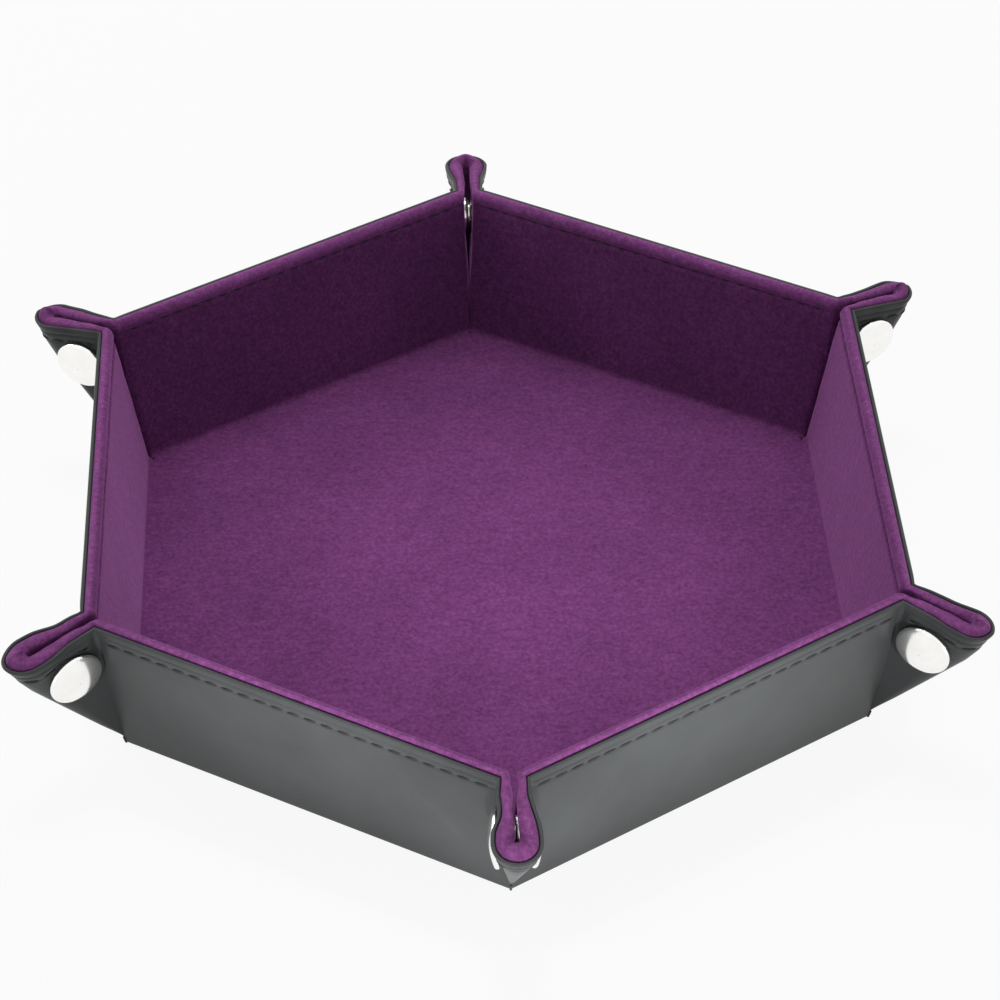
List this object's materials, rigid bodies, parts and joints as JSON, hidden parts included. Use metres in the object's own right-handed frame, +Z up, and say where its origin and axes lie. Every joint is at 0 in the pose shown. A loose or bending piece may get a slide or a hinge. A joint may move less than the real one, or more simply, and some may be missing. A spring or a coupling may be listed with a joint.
{
  "type": "folding hexagonal dice tray",
  "caption": "Open hexagonal dice tray of velvet, board and leather; snap fasteners pinch its corners into ears, and it unsnaps to a flat sheet.",
  "frame": {"origin": "middle of the base's underside", "axes": "+Z up out of the open tray, +Y to the back corner, +X square to the right wall"},
  "size_m": [0.2064, 0.2372, 0.0398],
  "materials": {
    "leather": "smooth, soft sheen",
    "velvet": "short pile",
    "board": "plain grey board",
    "snap": "polished nickel"
  },
  "bodies": {
    "base": {"base_leather": "leather", "base_board": "board", "base_velvet": "velvet"},
    "wall_right": {"wall_right_leather": "leather", "wall_right_board": "board", "wall_right_velvet": "velvet"},
    "ear_front_right_socket_half": {"ear_front_right_socket_half_leather": "leather", "ear_front_right_socket_half_velvet": "velvet", "snap_front_right_socket": "snap"},
    "ear_back_right_stud_half": {"ear_back_right_stud_half_leather": "leather", "ear_back_right_stud_half_velvet": "velvet", "snap_back_right_stud": "snap"},
    "wall_back_right": {"wall_back_right_leather": "leather", "wall_back_right_board": "board", "wall_back_right_velvet": "velvet"},
    "ear_back_right_socket_half": {"ear_back_right_socket_half_leather": "leather", "ear_back_right_socket_half_velvet": "velvet", "snap_back_right_socket": "snap"},
    "ear_back_stud_half": {"ear_back_stud_half_leather": "leather", "ear_back_stud_half_velvet": "velvet", "snap_back_stud": "snap"},
    "wall_back_left": {"wall_back_left_leather": "leather", "wall_back_left_board": "board", "wall_back_left_velvet": "velvet"},
    "ear_back_socket_half": {"ear_back_socket_half_leather": "leather", "ear_back_socket_half_velvet": "velvet", "snap_back_socket": "snap"},
    "ear_back_left_stud_half": {"ear_back_left_stud_half_leather": "leather", "ear_back_left_stud_half_velvet": "velvet", "snap_back_left_stud": "snap"},
    "wall_left": {"wall_left_leather": "leather", "wall_left_board": "board", "wall_left_velvet": "velvet"},
    "ear_back_left_socket_half": {"ear_back_left_socket_half_leather": "leather", "ear_back_left_socket_half_velvet": "velvet", "snap_back_left_socket": "snap"},
    "ear_front_left_stud_half": {"ear_front_left_stud_half_leather": "leather", "ear_front_left_stud_half_velvet": "velvet", "snap_front_left_stud": "snap"},
    "wall_front_left": {"wall_front_left_leather": "leather", "wall_front_left_board": "board", "wall_front_left_velvet": "velvet"},
    "ear_front_left_socket_half": {"ear_front_left_socket_half_leather": "leather", "ear_front_left_socket_half_velvet": "velvet", "snap_front_left_socket": "snap"},
    "ear_front_stud_half": {"ear_front_stud_half_leather": "leather", "ear_front_stud_half_velvet": "velvet", "snap_front_stud": "snap"},
    "wall_front_right": {"wall_front_right_leather": "leather", "wall_front_right_board": "board", "wall_front_right_velvet": "velvet"},
    "ear_front_socket_half": {"ear_front_socket_half_leather": "leather", "ear_front_socket_half_velvet": "velvet", "snap_front_socket": "snap"},
    "ear_front_right_stud_half": {"ear_front_right_stud_half_leather": "leather", "ear_front_right_stud_half_velvet": "velvet", "snap_front_right_stud": "snap"}
  },
  "joints": [
    {"name": "wall_right_fold", "type": "hinge", "parent": "base", "child": "wall_right", "pos_m": [0.08097, 0, 0], "axis": [0, 1, 0], "range_deg": [0, 80]},
    {"name": "ear_front_right_socket_crease", "type": "hinge", "parent": "wall_right", "child": "ear_front_right_socket_half", "pos_m": [0.08009, -0.04731, 0.00016], "axis": [-0.1736, 0, -0.9848], "range_deg": [0, 64]},
    {"name": "ear_back_right_stud_crease", "type": "hinge", "parent": "wall_right", "child": "ear_back_right_stud_half", "pos_m": [0.08009, 0.04731, 0.00016], "axis": [0.1736, 0, 0.9848], "range_deg": [0, 64]},
    {"name": "wall_back_right_fold", "type": "hinge", "parent": "base", "child": "wall_back_right", "pos_m": [0.04049, 0.07013, 0], "axis": [-0.866, 0.5, 0], "range_deg": [0, 80]},
    {"name": "ear_back_right_socket_crease", "type": "hinge", "parent": "wall_back_right", "child": "ear_back_right_socket_half", "pos_m": [0.08102, 0.0457, 0.00016], "axis": [-0.0868, -0.1504, -0.9848], "range_deg": [0, 64]},
    {"name": "ear_back_stud_crease", "type": "hinge", "parent": "wall_back_right", "child": "ear_back_stud_half", "pos_m": [-0.00093, 0.09301, 0.00016], "axis": [0.0868, 0.1504, 0.9848], "range_deg": [0, 64]},
    {"name": "wall_back_left_fold", "type": "hinge", "parent": "base", "child": "wall_back_left", "pos_m": [-0.04049, 0.07013, 0], "axis": [-0.866, -0.5, 0], "range_deg": [0, 80]},
    {"name": "ear_back_socket_crease", "type": "hinge", "parent": "wall_back_left", "child": "ear_back_socket_half", "pos_m": [0.00093, 0.09301, 0.00016], "axis": [0.0868, -0.1504, -0.9848], "range_deg": [0, 64]},
    {"name": "ear_back_left_stud_crease", "type": "hinge", "parent": "wall_back_left", "child": "ear_back_left_stud_half", "pos_m": [-0.08102, 0.0457, 0.00016], "axis": [-0.0868, 0.1504, 0.9848], "range_deg": [0, 64]},
    {"name": "wall_left_fold", "type": "hinge", "parent": "base", "child": "wall_left", "pos_m": [-0.08097, 0, 0], "axis": [0, -1, 0], "range_deg": [0, 80]},
    {"name": "ear_back_left_socket_crease", "type": "hinge", "parent": "wall_left", "child": "ear_back_left_socket_half", "pos_m": [-0.08009, 0.04731, 0.00016], "axis": [0.1736, 0, -0.9848], "range_deg": [0, 64]},
    {"name": "ear_front_left_stud_crease", "type": "hinge", "parent": "wall_left", "child": "ear_front_left_stud_half", "pos_m": [-0.08009, -0.04731, 0.00016], "axis": [-0.1736, 0, 0.9848], "range_deg": [0, 64]},
    {"name": "wall_front_left_fold", "type": "hinge", "parent": "base", "child": "wall_front_left", "pos_m": [-0.04049, -0.07013, 0], "axis": [0.866, -0.5, 0], "range_deg": [0, 80]},
    {"name": "ear_front_left_socket_crease", "type": "hinge", "parent": "wall_front_left", "child": "ear_front_left_socket_half", "pos_m": [-0.08102, -0.0457, 0.00016], "axis": [0.0868, 0.1504, -0.9848], "range_deg": [0, 64]},
    {"name": "ear_front_stud_crease", "type": "hinge", "parent": "wall_front_left", "child": "ear_front_stud_half", "pos_m": [0.00093, -0.09301, 0.00016], "axis": [-0.0868, -0.1504, 0.9848], "range_deg": [0, 64]},
    {"name": "wall_front_right_fold", "type": "hinge", "parent": "base", "child": "wall_front_right", "pos_m": [0.04049, -0.07013, 0], "axis": [0.866, 0.5, 0], "range_deg": [0, 80]},
    {"name": "ear_front_socket_crease", "type": "hinge", "parent": "wall_front_right", "child": "ear_front_socket_half", "pos_m": [-0.00093, -0.09301, 0.00016], "axis": [-0.0868, 0.1504, -0.9848], "range_deg": [0, 64]},
    {"name": "ear_front_right_stud_crease", "type": "hinge", "parent": "wall_front_right", "child": "ear_front_right_stud_half", "pos_m": [0.08102, -0.0457, 0.00016], "axis": [0.0868, -0.1504, 0.9848], "range_deg": [0, 64]}
  ],
  "couplings": [
    {"joint": "ear_front_right_socket_crease", "follows": "wall_right_fold", "ratio": 0.8},
    {"joint": "ear_back_right_stud_crease", "follows": "wall_right_fold", "ratio": 0.8},
    {"joint": "wall_back_right_fold", "follows": "wall_right_fold", "ratio": 1},
    {"joint": "ear_back_right_socket_crease", "follows": "wall_right_fold", "ratio": 0.8},
    {"joint": "ear_back_stud_crease", "follows": "wall_right_fold", "ratio": 0.8},
    {"joint": "wall_back_left_fold", "follows": "wall_right_fold", "ratio": 1},
    {"joint": "ear_back_socket_crease", "follows": "wall_right_fold", "ratio": 0.8},
    {"joint": "ear_back_left_stud_crease", "follows": "wall_right_fold", "ratio": 0.8},
    {"joint": "wall_left_fold", "follows": "wall_right_fold", "ratio": 1},
    {"joint": "ear_back_left_socket_crease", "follows": "wall_right_fold", "ratio": 0.8},
    {"joint": "ear_front_left_stud_crease", "follows": "wall_right_fold", "ratio": 0.8},
    {"joint": "wall_front_left_fold", "follows": "wall_right_fold", "ratio": 1},
    {"joint": "ear_front_left_socket_crease", "follows": "wall_right_fold", "ratio": 0.8},
    {"joint": "ear_front_stud_crease", "follows": "wall_right_fold", "ratio": 0.8},
    {"joint": "wall_front_right_fold", "follows": "wall_right_fold", "ratio": 1},
    {"joint": "ear_front_socket_crease", "follows": "wall_right_fold", "ratio": 0.8},
    {"joint": "ear_front_right_stud_crease", "follows": "wall_right_fold", "ratio": 0.8}
  ]
}
